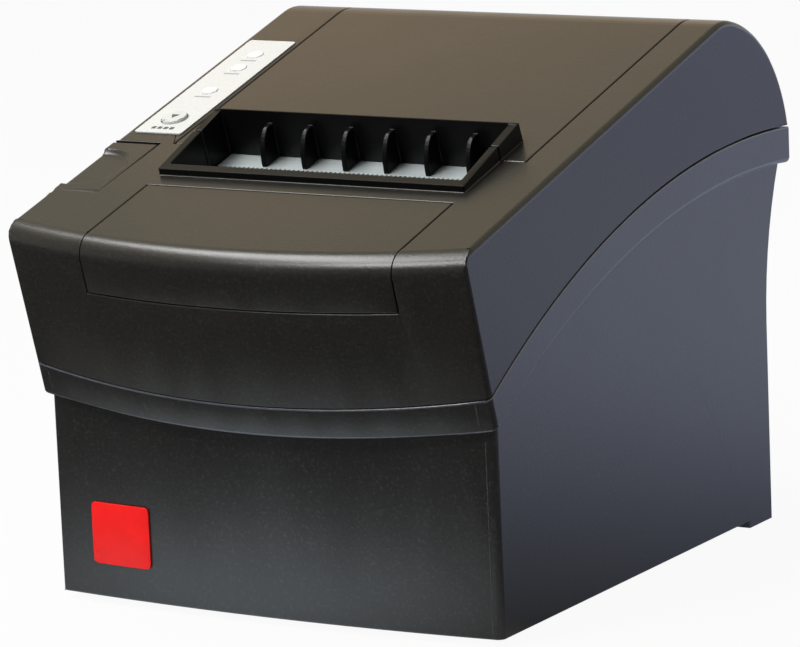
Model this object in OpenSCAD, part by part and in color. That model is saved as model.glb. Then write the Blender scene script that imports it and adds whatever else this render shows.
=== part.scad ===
// Thermal receipt printer with a hinged roll cover, an automatic cutter and a cover-open lever.
// Millimetres. +Z up, the front faces -Y, the origin is under the middle of the printer.

/* [Case] */
// Width of the upper case
body_w = 145; // [142:1:156]
// Depth from the front-most point to the back of the belt
body_d = 193.6; // [190:0.2:200]
// Thickness of the moulded shells
wall = 2.5; // [2:0.1:3]
// Height of the top's front edge at its corners
front_edge_h = 107.3; // [105:0.1:112]
// Slope of the top face in degrees
top_slope = 15.87; // [14:0.01:17]
// Forward bow of the front face
front_bow = 9.15; // [7:0.05:11]
// Radius of the rounded front edge
front_edge_r = 6; // [3:0.5:8]
// Radius of the upright front corners
corner_r = 2.4; // [1.5:0.1:4]
// Radius of the rounded ridge
ridge_r = 20; // [14:1:24]
// Radius of the curve at the back
rear_r = 43.3; // [42:0.1:46]
// Height of the centre of the curve at the back
rear_centre_z = 106; // [104:0.5:108]

/* [Seam and belt] */
// Radius of the seam between case and base, seen from the side
seam_r = 285; // [270:1:320]
// Distance of the seam's highest point behind the origin
seam_y = 77.5; // [70:0.5:85]
// Height of the seam's highest point
seam_z = 113.9; // [112:0.1:116]
// Height of the belt under the seam
belt_h = 10.4; // [6:0.2:12]
// Visible gap at the seam
seam_gap = 0.4; // [0.2:0.1:0.8]

/* [Base] */
// Width of the base
base_w = 142; // [140:1:150]
// Distance of the base's front corners from the origin
base_front = 74; // [72:0.5:78]
// Forward bow of the base's front
base_bow = 3.9; // [2:0.1:6]
// Distance of the base's back wall from the origin
base_back = 82.6; // [82:0.2:85]
// Radius of the flare from the back wall to the belt
flare_r = 110; // [100:5:140]
// Height where the flare starts
flare_z = 58; // [50:1:64]
// Thickness of the base's floor
floor_t = 3; // [2:0.5:4]
// Height of the feet under the base
foot_h = 2.1; // [1.5:0.1:4]
// Radius of the rubber feet
foot_r = 6; // [4:0.5:9]
// Width of the two skids under the rear corners
skid_w = 10; // [6:1:14]
// Length of the two skids under the rear corners
skid_l = 14.2; // [10:0.2:20]

/* [Paper mouth] */
// Sideways offset of the print mechanism from the middle
print_x = 3.85; // [2:0.05:5]
// Clear width of the mouth
mouth_w = 92.8; // [90:0.2:94]
// Front of the mouth, measured along the slope from the front edge
mouth_s0 = 40; // [39:0.5:42]
// Back of the mouth, measured along the slope from the front edge
mouth_s1 = 68.1; // [66:0.1:69]
// Thickness of the raised rim at the sides
rim_t = 2.4; // [1.8:0.1:3]
// Thickness of the raised rim at the front
rim_front_t = 3; // [2:0.5:4]
// Thickness of the raised rim at the back
rim_back_t = 1.3; // [1:0.1:2.5]
// Slant of the rim's back wall
rim_draft = 0.5; // [0.2:0.1:3]
// Height of the rim above the top face at its front
rim_lift0 = 1.9; // [1:0.1:3]
// Height of the rim above the top face at its back
rim_lift1 = 5.7; // [4:0.1:7]
// Depth of the rim's skirt below the top face
rim_skirt = 6.5; // [4:0.5:7.5]
// Number of guide ribs on the mouth's back wall
rib_count = 6; // [4:1:7]
// Distance between the guide ribs
rib_pitch = 13.24; // [11:0.02:13.6]
// Sideways offset of the ribs from the middle of the mouth
rib_shift = 2.25; // [-3:0.05:3]
// Thickness of a guide rib
rib_t = 1.6; // [1:0.1:2.4]
// Height of the ribs' tops above the top face
rib_top = 2.3; // [1:0.1:3]
// Reach of the ribs into the mouth
rib_reach = 7; // [5.6:0.1:7.4]
// Length of the ribs' rounded front
rib_round = 5.4; // [3:0.1:5.6]

/* [Lid] */
// Width of the lid
lid_w = 112.3; // [110:0.1:114]
// Front edge of the lid, measured along the slope from the front edge
lid_s = 57; // [56.5:0.1:57.2]
// Gap around the lid, covers and lever
gap = 0.35; // [0.25:0.05:0.5]
// Radius of the hinge barrel
barrel_r = 6.8; // [5.5:0.1:7.5]
// Radius of the hinge rod
hinge_rod_r = 2; // [1.5:0.1:3]
// Place of the hinge on the rear curve in degrees above level
hinge_angle = 33; // [28:1:38]
// Length of each hinge boss on the case
hinge_boss_l = 6; // [4:0.5:8]

/* [Cutter cover] */
// Width of the cutter cover
cover_w = 97; // [95:0.5:99]
// Rear edge of the cutter cover, measured along the slope from the front edge
cover_s = 30.5; // [28:0.5:33]
// Depth of the cover's lip on the front face
cover_drop = 15; // [12:0.5:18]
// Thickness of the cutter cover
cover_t = 2; // [1.5:0.1:2.4]

/* [Cover lever] */
// Width of the lever
lever_w = 15.1; // [13:0.1:16]
// Front end of the lever, measured along the slope from the front edge
lever_s0 = 24.2; // [23.5:0.1:26]
// Rear end of the lever, measured along the slope from the front edge
lever_s1 = 55.7; // [54:0.1:56.5]
// Half thickness of the lever and radius of its pivot end
lever_r = 4.7; // [4:0.1:5.2]
// Slit behind the lever
lever_slit = 1.2; // [0.9:0.1:1.6]
// Radius of the lever's pin
lever_pin_r = 1.5; // [1:0.1:2]
// Length of the finger scoop along the lever
scoop_l = 22.8; // [16:0.2:24]
// Radius of the scoop's rounded wall
scoop_r = 2.5; // [1.5:0.1:4]
// Depth of the finger scoop
scoop_deep = 1.2; // [0.6:0.1:1.4]
// Distance of the scoop's middle from the lever's outer side
scoop_x = 2; // [0:0.1:4]

/* [Control strip] */
// Width of the silver label
label_w = 15.7; // [13:0.1:15.8]
// Length of the silver label
label_l = 64.2; // [62:0.1:70]
// Front end of the label, measured along the slope from the front edge
label_s = 62.5; // [60:0.1:64]
// Gap from the case's left side to the label
label_edge = 2.8; // [2.6:0.1:4]
// Thickness of the label
label_t = 0.35; // [0.2:0.05:0.6]
// Distance of the feed button from the label's front end
button_at = 9.5; // [7:0.1:12]
// Radius of the feed button
button_r = 3.6; // [3:0.1:4.5]
// Travel of the feed button
button_travel = 0.8; // [0.4:0.1:1.2]
// Distances of the indicator lenses from the label's front end
led_at = [28.6, 44.7, 54];
// Radius of an indicator lens
led_r = 2.4; // [1.5:0.1:3]

/* [Badge] */
// Width of the badge
badge_w = 20; // [15:0.5:26]
// Height of the badge
badge_h = 17.4; // [12:0.2:24]
// Thickness of the badge
badge_t = 0.5; // [0.3:0.1:1]
// Distance of the badge's middle left of the middle
badge_x = 48.3; // [30:0.1:52]
// Height of the badge's middle
badge_z = 20.3; // [15:0.1:28]
// Corner radius of the badge
badge_r = 1.6; // [0.5:0.1:3]

/* [Platen and head] */
// Place of the platen along the slope
platen_s = 63; // [62.9:0.05:63.3]
// Depth of the platen's axis under the top face
platen_deep = 22; // [21:0.5:24]
// Radius of the platen's rubber
platen_r = 6; // [5:0.1:6.5]
// Length of the platen's rubber
platen_l = 82; // [80:0.5:83]
// Radius of the platen's shaft
shaft_r = 3; // [2.5:0.1:3.4]
// Radius of the platen's bearings
bush_r = 4.5; // [4.2:0.1:4.8]
// Running clearance of shafts in their bores
run = 0.05; // [0.03:0.01:0.08]
// Clearance of fixed pieces in their seats
seat = 0.02; // [0.01:0.01:0.04]
// Gap between the print head and the platen
paper_gap = 0.3; // [0.2:0.05:0.5]
// Angle of the print head round the platen in degrees
head_tilt = 30; // [26:1:34]
// Thickness of the print head
head_t = 3; // [2:0.5:4]
// Length of the print head
head_l = 81.6; // [80:0.2:83]
// Thickness of the head's bracket
bracket_t = 6.7; // [5:0.1:8]
// Length of the head's springs
head_spring_l = 8; // [7:0.5:9]
// Width of the mechanism's frame
chassis_w = 88.5; // [87:0.5:88.8]
// Thickness of the frame's plates
plate_t = 1.5; // [1:0.1:2]

/* [Drive] */
// Tooth size of the paper drive
gear_m = 1; // [0.95:0.01:1.02]
// Teeth of the platen's gear
platen_teeth = 16; // [14:1:17]
// Teeth of the idler
idler_teeth = 28; // [24:2:28]
// Teeth of the motor's pinion
motor_teeth = 14; // [13:1:15]
// Direction of the gear train from the platen in degrees
train_angle = 216.6; // [214:0.2:219]
// Width of the gears
gear_w = 5; // [4:0.5:5.5]
// Radius of the drive motor
motor_r = 17; // [14:0.5:18]
// Length of the drive motor
motor_l = 24; // [18:1:28]
// Radius of the drive motor's shaft and the idler's pin
drive_shaft_r = 2; // [1.5:0.1:2.5]

/* [Cutter] */
// Tooth size of the cutter drive
cutter_m = 0.8; // [0.75:0.01:0.85]
// Teeth of each cutter pinion
cutter_teeth = 12; // [12:1:14]
// Place of the cutter shaft along the slope
cutter_s = 22; // [20:0.5:24]
// Front edge of the moving blade at rest, measured along the slope
blade_s1 = 55; // [53:0.5:56]
// Thickness of the moving blade
blade_t = 0.9; // [0.6:0.1:1]
// Travel of the moving blade
blade_travel = 8; // [6:0.5:9]
// Depth of the tear plate's top under the top face
tear_deep = 8; // [7.6:0.1:8.6]
// Front edge of the tear plate, measured along the slope
tear_s = 60; // [59:0.5:61.5]
// Distance between the tear plate's teeth
tear_pitch = 1.5; // [1:0.1:2.5]
// Radius of the thumbwheel
thumb_r = 9; // [7:0.5:10]
// Radius of the cutter's motor
cutter_motor_r = 8; // [6:0.5:9]

/* [Paper bay] */
// Radius of the trough that holds the roll
bay_r = 42; // [40:0.5:42.5]
// Width of the trough
bay_w = 84; // [82:0.5:86]
// Thickness of the trough's walls
bay_t = 2; // [1.5:0.1:2.2]
// Distance of the trough's middle behind the origin
bay_y = 34; // [33:0.5:34]
// Height of the trough's middle
bay_z = 98; // [97:0.5:100]

/* [Electronics] */
// Height of the main board above the floor
board_lift = 9; // [7:0.5:12]
// Thickness of the boards
board_t = 1.6; // [1:0.1:2]
// Thickness of the rear interface plate
iface_t = 1.2; // [0.8:0.1:1.6]
// Radius of the power inlet
jack_r = 4.5; // [3.5:0.1:5]
// Depth of the sockets
socket_deep = 10; // [8:0.5:12]
// Width of the rocker switch
rocker_w = 12; // [10:0.5:13]
// Height of the rocker switch
rocker_h = 18; // [15:0.5:20]

/* [Hidden] */
$fn = 64;

case_colour = [0.10, 0.10, 0.11];
base_colour = [0.10, 0.11, 0.13];
steel_colour = [0.72, 0.73, 0.75];
black_colour = [0.05, 0.05, 0.05];
board_colour = [0.08, 0.32, 0.16];
gear_colour = [0.90, 0.89, 0.84];

far = 130;
big_fn = 180;
half_w = body_w / 2;
bow_r = (half_w * half_w + front_bow * front_bow) / (2 * front_bow);
front_y = -body_d / 2 + front_bow * cos(top_slope)
    - front_edge_r * (cos(top_slope) + sin(top_slope) - 1);
base_bow_r = (base_w * base_w / 4 + base_bow * base_bow) / (2 * base_bow);
floor_z = foot_h + floor_t;

// Slope coordinates: s runs up the top face from its front edge, n stands square to it
function to_s(y, z) = (y - front_y) * cos(top_slope) + (z - front_edge_h) * sin(top_slope);
function to_n(y, z) = -(y - front_y) * sin(top_slope) + (z - front_edge_h) * cos(top_slope);
function to_z(s, n) = front_edge_h + s * sin(top_slope) + n * cos(top_slope);
function arc(c, r, a0, a1, steps = 16) =
    [for (i = [0:steps]) let (a = a0 + (a1 - a0) * i / steps) c + r * [cos(a), sin(a)]];

// What follows the depth: the rear curve, both ends of the base and the trough between them
std_d = 193.6;
end_add = (body_d - std_d) / 2;
tail_r = rear_r * body_d / std_d;
base_f = base_front + end_add;
base_b = base_back + end_add;
trough_r = bay_r + end_add;
base_bow_c = base_bow_r - base_f - base_bow;

// Rear curve and ridge in slope coordinates
rear_y = body_d / 2 - sqrt(pow(tail_r, 2) - pow(seam_z - rear_centre_z, 2));
rear_c = [to_s(rear_y, rear_centre_z), to_n(rear_y, rear_centre_z)];
ridge_reach = pow(tail_r - ridge_r, 2) - pow(ridge_r + rear_c[1], 2);
ridge_c = [rear_c[0] + sqrt(max(ridge_reach, 0)), -ridge_r];
ridge_a = atan2(ridge_c[1] - rear_c[1], ridge_c[0] - rear_c[0]);
rear_end_a = asin((seam_z - rear_centre_z) / tail_r) - top_slope;
hinge_a = hinge_angle - top_slope;
hinge_c = rear_c + (tail_r - barrel_r) * [cos(hinge_a), sin(hinge_a)];
hinge_z = to_z(hinge_c[0], hinge_c[1]);

// Sideways limits of the mouth, lid, cover and frame
mouth_x0 = print_x - mouth_w / 2;
mouth_x1 = print_x + mouth_w / 2;
rim_x0 = mouth_x0 - rim_t;
rim_x1 = mouth_x1 + rim_t;
lid_x0 = print_x - lid_w / 2;
lid_x1 = print_x + lid_w / 2;
boss_x0 = lid_x0 - gap - hinge_boss_l;
boss_x1 = lid_x1 + gap + hinge_boss_l;
cover_x0 = print_x - cover_w / 2;
cover_x1 = print_x + cover_w / 2;
chassis_x0 = print_x - chassis_w / 2;
chassis_x1 = print_x + chassis_w / 2;
bay_x0 = print_x - bay_w / 2;
bay_x1 = print_x + bay_w / 2;

// Height of the mouth's rim over the top face
rim_s0 = mouth_s0 - rim_front_t;
rim_s1 = mouth_s1 + rim_back_t;
function rim_lift(s) = rim_lift0 + (rim_lift1 - rim_lift0) * (s - rim_s0) / (rim_s1 - rim_s0);

// Lever
lever_x0 = -half_w;
lever_x1 = -half_w + lever_w;
lever_pivot = [lever_s0 + sqrt(pow(lever_r + gap, 2) - pow(lever_r, 2)), -lever_r];
lever_ear_t = 3;
lever_ear_x = lever_x1 + gap + 0.2;

// Control strip
label_x0 = -half_w + label_edge;
label_x = label_x0 + label_w / 2;
board_n = -9;

// Gear train on one line from the platen
platen_c = [platen_s, -platen_deep];
train_dir = [cos(train_angle), sin(train_angle)];
idler_c = platen_c + train_dir * gear_m * (platen_teeth + idler_teeth) / 2;
motor_c = idler_c + train_dir * gear_m * (idler_teeth + motor_teeth) / 2;
gear_x0 = rim_x1 + 0.85;
gear_x1 = gear_x0 + gear_w;
shaft_x0 = rim_x0 - 5;
shaft_x1 = gear_x1 + 0.8;
ear_r = platen_s - lid_s - gap / 2;
slot_play = 0.3;

// Cutter, from the tear plate downwards
tear_t = 0.8;
blade_top = -tear_deep - tear_t - 0.2;
blade_low = blade_top - blade_t;
cutter_top = blade_low - 0.3;
cutter_plate_t = 1.5;
cutter_low = cutter_top - cutter_plate_t;
cutter_pr = cutter_m * cutter_teeth / 2;
rack_body = 1;
rack_pitch_n = blade_low - rack_body - 1.2 * cutter_m;
cutter_c = [cutter_s, rack_pitch_n - cutter_pr];
cutter_motor_c = cutter_c - [0, 2 * cutter_pr];
cutter_gear_x0 = chassis_x0 + 10;
cutter_gear_x1 = cutter_gear_x0 + 7;
cutter_ear_x = cutter_gear_x1 + 1.5;
cutter_motor_l = 28;
thumb_x0 = chassis_x0 - 6.4;
thumb_x1 = chassis_x0 - 1.6;

// Print head, seen from the platen's axis with the head on the -Y side
head_y = -(platen_r + paper_gap);
bracket_y = head_y - head_t;
head_back_y = bracket_y - bracket_t;
stop_y = head_back_y - head_spring_l;
head_top = 5;
head_low = -8;
bracket_low = -14;
head_pin_z = -18;
head_pin_y = bracket_y - bracket_t / 2;
head_pin_r = 1.5;
head_boss_r = bracket_t / 2;
bracket_x0 = print_x - head_l / 2 + 1;
bracket_x1 = print_x + head_l / 2 - 1;
spring_x = [print_x - 20, print_x + 20];

// Screw towers between the base and the case
tower_z = floor_z + 20;
tower_r = 4;
screw_r = 1.5;
screw_head_r = 3;
screw_head_t = 2;
tower_gap = 0.5;
tower_x = base_w / 2 - wall - tower_r - tower_gap;
towers = [
    [rim_x0 - 6, -66 - end_add], [tower_x, -62 - end_add],
    [2 - tower_x, 45 - end_add], [tower_x, 45 + end_add]
];

// Main board and the sockets on its rear edge
board_z = floor_z + board_lift;
board_top = board_z + board_t;
board_y0 = bay_y - trough_r;
board_y1 = bay_y + trough_r;
iface_y1 = base_b - wall;
socket_y1 = base_b - 0.6;
socket_z = board_top;
socket_l = socket_deep + 4;
jack_x = bay_x0 + 11;
usb_x = bay_x0 + 28;
drawer_x = bay_x0 + 46;
network_x = bay_x0 + 66;
jack_box = [14, 14];
usb_box = [12, 11];
drawer_box = [14, 13];
network_box = [16, 13.5];
usb_hole = [8.6, 7.8];
drawer_hole = [9.8, 7];
network_hole = [11.8, 8.2];
switch_x = (bay_x1 + bay_t + base_w / 2 - wall) / 2;
switch_z = board_z + 12;
switch_half = [rocker_w / 2 + 0.5, rocker_h / 2 + 0.5];
switch_l = 16;

// Places a shape drawn in slope coordinates
module on_slope() translate([0, front_y, front_edge_h]) rotate([top_slope, 0, 0]) children();

// Turns a flat outline into a bar along X
module bar(x0, x1) translate([x0, 0, 0]) rotate([90, 0, 90]) linear_extrude(x1 - x0) children();

// Round rod along X
module rod(x0, x1, r, c, fn = 64)
    translate([x0, c[0], c[1]]) rotate([0, 90, 0]) cylinder(h = x1 - x0, r = r, $fn = fn);

// Block between two corners
module block(a, b) translate(a) cube(b - a);

// Rectangle with round corners, centred
module round_rect(w, h, r) {
    square([w - 2 * r, h], center = true);
    square([w, h - 2 * r], center = true);
    for (x = [-1, 1], y = [-1, 1]) translate([x * (w / 2 - r), y * (h / 2 - r)]) circle(r);
}

// Flat disc section with a rounded upper edge, for the bowed front
module front_edge_profile(inset) {
    r = max(front_edge_r - inset, 1);
    edge = bow_r - inset;
    translate([0, -far]) square([edge, far - inset - r]);
    translate([0, -far]) square([edge - r, far - inset]);
    translate([edge - r, -inset - r]) circle(r);
}

// Rear end of the case from the side: ridge, rear curve and the drop to the belt
function rear_outline(inset) = let (
        drop_end = rear_c + (tail_r - inset) * [cos(rear_end_a), sin(rear_end_a)])
    concat(
        [[-far, far], [ridge_c[0], far]],
        arc(ridge_c, ridge_r - inset, 90, ridge_a, 6),
        arc(rear_c, tail_r - inset, ridge_a, rear_end_a, 18),
        [drop_end - far * [sin(top_slope), cos(top_slope)], [-far, -far]]);

// What the rounded upright corners leave out of a bowed front: half width, centre and radius of the bow
corner_cross = 0.05;
module corner_cut(half, bow_c, bow, inset) {
    c = [half - corner_r, bow_c - sqrt(pow(bow - corner_r, 2) - pow(half - corner_r, 2))];
    out = (c - [0, bow_c]) / norm(c - [0, bow_c]);
    reach = 3 * corner_r;
    for (k = [-1, 1]) difference() {
        polygon([
            [k * c[0], c[1]], [k * (c[0] + reach * out[0]), c[1] + reach * out[1]],
            [k * (c[0] + reach * (out[0] + 1)), c[1] + reach * out[1]], [k * (c[0] + reach), c[1]]]);
        translate([k * c[0], c[1]]) circle(max(corner_r - inset, 0.3) + corner_cross);
    }
}

// Solid inside the case's outer faces, drawn inwards by an inset
module case_solid(inset) on_slope() difference() {
    intersection() {
        translate([0, bow_r - front_bow, 0]) rotate_extrude($fn = big_fn) front_edge_profile(inset);
        block([-half_w + inset, -far, -far], [half_w - inset, 2 * far, far]);
        bar(-half_w, half_w) polygon(rear_outline(inset));
    }
    translate([0, 0, -far]) linear_extrude(2 * far)
        corner_cut(half_w, bow_r - front_bow, bow_r, inset);
}

module case_shell() difference() {
    case_solid(0);
    case_solid(wall);
}

// Everything under the seam, or under a line that runs lower by a drop
module under_seam(drop) rod(-far, far, seam_r, [seam_y, seam_z - seam_r - drop], big_fn);

// Solid inside the base's outer faces, drawn inwards by an inset
module base_solid(inset, z0) difference() {
    intersection() {
        translate([0, base_bow_c, z0]) cylinder(r = base_bow_r - inset, h = far, $fn = big_fn);
        block([-base_w / 2 + inset, -far, 0], [base_w / 2 - inset, far, 2 * far]);
        bar(-half_w, half_w) polygon(concat(
            [[-far, 0], [base_b - inset, 0]],
            arc([base_b + flare_r, flare_z], flare_r + inset, 180, 152, 8),
            [[-far, 2 * far]]));
    }
    linear_extrude(2 * far) corner_cut(base_w / 2, base_bow_c, base_bow_r, inset);
}

module base_shell() difference() {
    union() {
        intersection() {
            base_solid(0, foot_h);
            under_seam(belt_h - 1);
        }
        difference() {
            intersection() {
                case_solid(0);
                under_seam(0);
            }
            under_seam(belt_h);
        }
    }
    base_solid(wall, floor_z);
    difference() {
        case_solid(wall);
        under_seam(belt_h - wall);
    }
}

foot_at = [base_w / 2 - 30, -base_f + 16];
foot_seat = 0.5;
module each_foot() for (x = [-1, 1]) translate([x * foot_at[0], foot_at[1], 0]) children();

module base_housing() color(base_colour) difference() {
    union() {
        base_shell();
        for (x = [-1, 1]) block(
            [x > 0 ? base_w / 2 - skid_w : -base_w / 2, base_b - skid_l, 0],
            [x > 0 ? base_w / 2 : -base_w / 2 + skid_w, base_b, foot_h + 1]);
        for (t = towers) translate([t[0], t[1], floor_z - 1])
            cylinder(r = tower_r, h = tower_z - floor_z + 1);
        for (x = [bay_x0 + 6, bay_x1 - 6], y = [board_y0 + 6, board_y1 - 22])
            translate([x, y, floor_z - 1]) cylinder(r = 3, h = board_lift + 1);
    }
    each_foot() cylinder(r = foot_r + seat, h = foot_h + foot_seat);
    for (t = towers) translate([t[0], t[1], 0]) {
        cylinder(r = screw_r + run, h = tower_z + 1);
        cylinder(r = screw_head_r + 0.2, h = foot_h + screw_head_t + 0.1);
    }
    block([bay_x0 + 2, iface_y1 - 1, socket_z - 1.5], [bay_x1 - 2, base_b + 1, socket_z + 15]);
    block([switch_x - switch_half[0] - 0.2, iface_y1 - 1, switch_z - switch_half[1] - 0.2],
          [switch_x + switch_half[0] + 0.2, base_b + 1, switch_z + switch_half[1] + 0.2]);
}

// Side view of the lever, grown by a clearance
module lever_outline(grow) {
    translate(lever_pivot) circle(lever_r + grow);
    translate([lever_pivot[0], -2 * lever_r - grow])
        square([lever_s1 + (grow > 0 ? lever_slit : 0) - lever_pivot[0],
            2 * lever_r + grow + (grow > 0 ? far : 0)]);
}

module mouth_cut(s0, s1) block([mouth_x0, s0, -far], [mouth_x1, s1, far]);

module top_case() color(case_colour) {
    difference() {
        union() {
            difference() {
                case_shell();
                under_seam(-seam_gap);
                on_slope() {
                    block([cover_x0 - gap, -far, -cover_drop - gap], [cover_x1 + gap, cover_s + gap, far]);
                    bar(-far, lever_x1 + gap) lever_outline(gap);
                }
                intersection() {
                    on_slope() block([lid_x0 - gap, lid_s - gap / 2, -far], [lid_x1 + gap, 3 * far, far]);
                    block([-far, -far, hinge_z - barrel_r - 0.6], [far, far, 2 * far]);
                }
            }
            on_slope() {
                bar(rim_x0, rim_x1) polygon([
                    [rim_s0, -rim_skirt], [rim_s0, rim_lift(rim_s0)],
                    [lid_s - gap / 2, rim_lift(lid_s)], [lid_s - gap / 2, -rim_skirt]]);
                bar(lever_ear_x, lever_ear_x + lever_ear_t) polygon([
                    [lever_pivot[0] - lever_r, -wall / 2], [lever_pivot[0] + lever_r, -wall / 2],
                    [lever_pivot[0] + lever_r, -2 * lever_r], [lever_pivot[0] - lever_r, -2 * lever_r]]);
                rod(boss_x0, lid_x0 - gap, barrel_r, hinge_c);
                rod(lid_x1 + gap, boss_x1, barrel_r, hinge_c);
                for (p = [[label_x0 + 3, label_s + 2], [label_x0 + label_w - 5, label_s + label_l - 3]])
                    translate([p[0], p[1], board_n]) cylinder(r = 2, h = -board_n - wall / 2);
            }
            intersection() {
                on_slope() block([-far, -far, -2 * far], [far, 2 * far, -wall / 2]);
                for (t = towers) translate([t[0], t[1], tower_z + 0.2])
                    cylinder(r = tower_r - 0.5, h = 2 * far);
            }
        }
        on_slope() {
            mouth_cut(mouth_s0, lid_s + 1);
            rod(-half_w, lever_ear_x + lever_ear_t + 0.5, lever_pin_r + seat, lever_pivot);
            rod(boss_x0 - 0.5, boss_x1 + 0.5, hinge_rod_r + seat, hinge_c);
            translate([label_x, label_s + button_at, -2 * wall]) cylinder(r = button_r + 0.3, h = 4 * wall);
            for (at = led_at) translate([label_x, label_s + at, -2 * wall])
                cylinder(r = led_r + 0.1, h = 4 * wall);
        }
        for (t = towers) translate([t[0], t[1], 0]) cylinder(r = screw_r + run, h = tower_z + 14);
    }
}

module hinge_rod() color(steel_colour) on_slope()
    rod(boss_x0 + 1, boss_x1 - 1, hinge_rod_r, hinge_c);

rib_low = -tear_deep;
module lid_ribs() for (i = [0:rib_count - 1]) {
    x = print_x + rib_shift + (i - (rib_count - 1) / 2) * rib_pitch;
    bar(x - rib_t / 2, x + rib_t / 2) polygon(concat(
        [for (k = [0:10]) let (a = 90 * k / 10)
            [mouth_s1 - rib_reach + rib_round * (1 - cos(a)), rib_low + (rib_top - rib_low) * sin(a)]],
        [[mouth_s1 + 0.5, rib_top], [mouth_s1 + 0.5, rib_low]]));
}

module lid_mouth() {
    for (x = [rim_x0, mouth_x1]) {
        bar(x, x + rim_t) polygon([
            [lid_s + gap / 2, -platen_deep], [lid_s + gap / 2, rim_lift(lid_s)],
            [rim_s1, rim_lift1], [rim_s1, -platen_deep]]);
        rod(x, x + rim_t, ear_r, platen_c);
    }
    bar(rim_x0, rim_x1) polygon([
        [mouth_s1, rib_low], [mouth_s1, rim_lift(mouth_s1)], [rim_s1, rim_lift1],
        [rim_s1 + rim_draft, 0], [rim_s1 + rim_draft, -wall / 2], [rim_s1, -wall / 2], [rim_s1, rib_low]]);
    lid_ribs();
}

module lid() color(case_colour) difference() {
    union() {
        difference() {
            intersection() {
                case_shell();
                on_slope() block([lid_x0, lid_s + gap / 2, hinge_c[1] - barrel_r], [lid_x1, 3 * far, far]);
            }
            on_slope() {
                mouth_cut(mouth_s0, mouth_s1);
                translate([0, rear_c[0], rear_c[1]]) rotate([hinge_a, 0, 0])
                    block([-far, 0, -far], [far, far, 0]);
            }
        }
        on_slope() {
            lid_mouth();
            rod(lid_x0, lid_x1, barrel_r, hinge_c);
        }
    }
    on_slope() {
        rod(-far, far, hinge_rod_r + run, hinge_c);
        rod(-far, far, bush_r + seat, platen_c);
    }
}

module cutter_cover() color(case_colour) intersection() {
    difference() {
        case_solid(0);
        case_solid(cover_t);
    }
    on_slope() block([cover_x0, -far, -cover_drop], [cover_x1, cover_s, far]);
}

hook_x0 = shaft_x0 - 1;
hook_x1 = rim_x0 - 3.6;
hook_s = platen_s - shaft_r - 0.6;
hook_low = -platen_deep;
arm_s = [lever_s1 - 7, lever_s1 - 3];
module cover_lever() color(case_colour) on_slope() difference() {
    union() {
        bar(lever_x0, lever_x1) lever_outline(0);
        block([lever_x1 - 3, arm_s[0], -2 * lever_r - 4], [hook_x1, arm_s[1], -2 * lever_r + 0.4]);
        bar(hook_x0, hook_x1) polygon([
            [arm_s[0], -2 * lever_r], [arm_s[1], -2 * lever_r], [hook_s, -platen_deep + 6.5],
            [hook_s, hook_low], [hook_s - 4, hook_low], [arm_s[0], -2 * lever_r - 4]]);
    }
    rod(-far, far, lever_pin_r + run, lever_pivot);
    rod(lever_x0 + 5.5, lever_x1 - 3.5, lever_pin_r + 2.4, lever_pivot);
    translate([lever_x0 + scoop_x, (lever_s0 + lever_s1) / 2, -scoop_deep]) scoop();
}

// Shallow round dish whose wall rises in a curve
module scoop() rotate_extrude() {
    run_out = sqrt(pow(scoop_r, 2) - pow(scoop_r - scoop_deep, 2));
    square([scoop_l / 2 - run_out, scoop_r]);
    intersection() {
        translate([scoop_l / 2 - run_out, scoop_r]) circle(scoop_r);
        square([scoop_l, scoop_r]);
    }
}

module lever_pin() color(steel_colour) on_slope()
    rod(lever_x0 + 1, lever_ear_x + lever_ear_t, lever_pin_r, lever_pivot);

// Helical wire along Z from z = 0, one unbroken tube
module coil(r, wire_r, turns, h, sides = 6, rings = 8) {
    steps = turns * rings;
    rise = (h - 2 * wire_r) / steps;
    points = [for (i = [0:steps], k = [0:sides - 1]) let (
            a = 360 * i / rings, b = 360 * k / sides, q = r + wire_r * cos(b))
        [q * cos(a), q * sin(a), wire_r + i * rise + wire_r * sin(b)]];
    faces = concat(
        [for (i = [0:steps - 1], k = [0:sides - 1], t = [0, 1]) let (
                a = i * sides + k, b = i * sides + (k + 1) % sides)
            t == 0 ? [a, a + sides, b + sides] : [a, b + sides, b]],
        [for (k = [1:sides - 2]) [0, k, k + 1]],
        [for (k = [1:sides - 2]) [steps * sides, steps * sides + k + 1, steps * sides + k]]);
    polyhedron(points, faces);
}

lever_spring_l = lever_w - 9.6;
module lever_spring() color(steel_colour) on_slope()
    translate([lever_x0 + 5.8, lever_pivot[0], lever_pivot[1]]) rotate([0, 90, 0])
        coil(lever_pin_r + 0.9, 0.4, 3, lever_spring_l);

module control_label() color([0.82, 0.83, 0.82]) on_slope() difference() {
    translate([label_x, label_s + label_l / 2, 0]) linear_extrude(label_t)
        round_rect(label_w, label_l, 0.8);
    translate([label_x, label_s + button_at, -1]) cylinder(r = button_r + 0.3, h = 3);
    for (at = led_at) translate([label_x, label_s + at, -1]) cylinder(r = led_r + 0.1, h = 3);
}

button_flange_n = -4.5;
button_flange_t = 1.2;
module feed_button() color([0.88, 0.88, 0.86]) on_slope() translate([label_x, label_s + button_at, 0]) {
    translate([0, 0, button_flange_n])
        cylinder(r = button_r, h = label_t + button_travel - button_flange_n);
    translate([0, 0, button_flange_n - button_flange_t])
        cylinder(r = button_r + 1.2, h = button_flange_t);
}

module button_spring() color(steel_colour) on_slope() translate([label_x, label_s + button_at, board_n])
    coil(button_r - 1, 0.25, 3, button_flange_n - button_flange_t - board_n);

module led_lenses() color([0.95, 0.96, 0.95]) on_slope()
    for (at = led_at) translate([label_x, label_s + at, board_n])
        cylinder(r = led_r, h = label_t + 0.35 - board_n);

module control_board() color(board_colour) on_slope()
    block([label_x0 + 0.6, label_s - 0.5, board_n - board_t],
          [label_x0 + label_w - 2, label_s + label_l, board_n]);

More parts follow.
